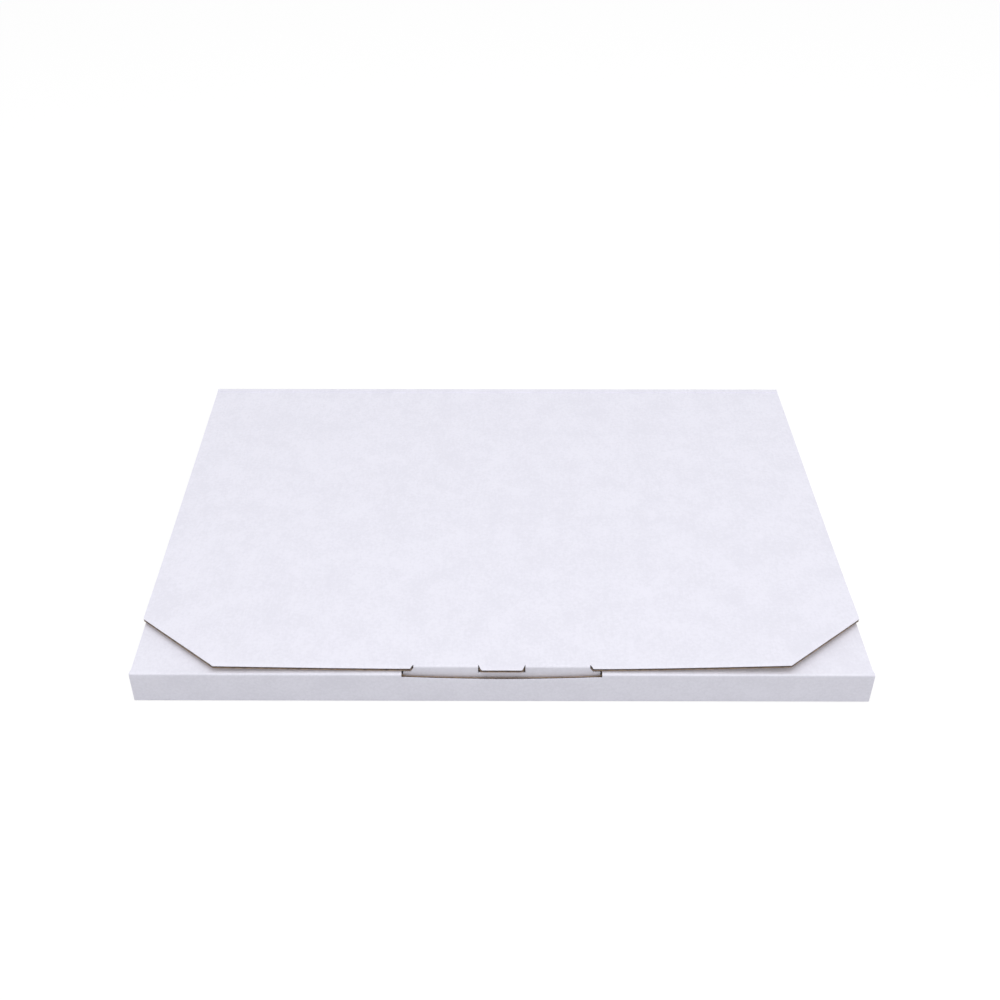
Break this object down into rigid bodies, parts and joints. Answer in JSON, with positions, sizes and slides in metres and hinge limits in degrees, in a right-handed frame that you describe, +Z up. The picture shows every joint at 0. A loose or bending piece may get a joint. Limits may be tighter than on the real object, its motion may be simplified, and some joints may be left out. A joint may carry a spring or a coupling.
{
  "type": "mailer box",
  "caption": "Flat white corrugated mailer box, folded from one sheet, with a hinged lid and a tuck tab that locks in a slot in the front edge.",
  "frame": {"origin": "middle of the base, on the surface that the box stands on", "axes": "+X to the right along the width, +Y from the front with the tuck tab to the fold behind the lid, +Z up"},
  "size_m": [0.35, 0.25, 0.0205],
  "materials": {
    "white_liner": "matt white paper facing",
    "kraft_inside": "matt brown kraft facing",
    "fluting": "matt brown fluted paper"
  },
  "bodies": {
    "tray": {"tray": "white_liner"},
    "lid": {"lid": "white_liner"}
  },
  "joints": [
    {"name": "lid_hinge", "type": "hinge", "parent": "tray", "child": "lid", "pos_m": [0, 0.12385, 0.01935], "axis": [-1, 0, 0], "range_deg": [0, 178]}
  ]
}
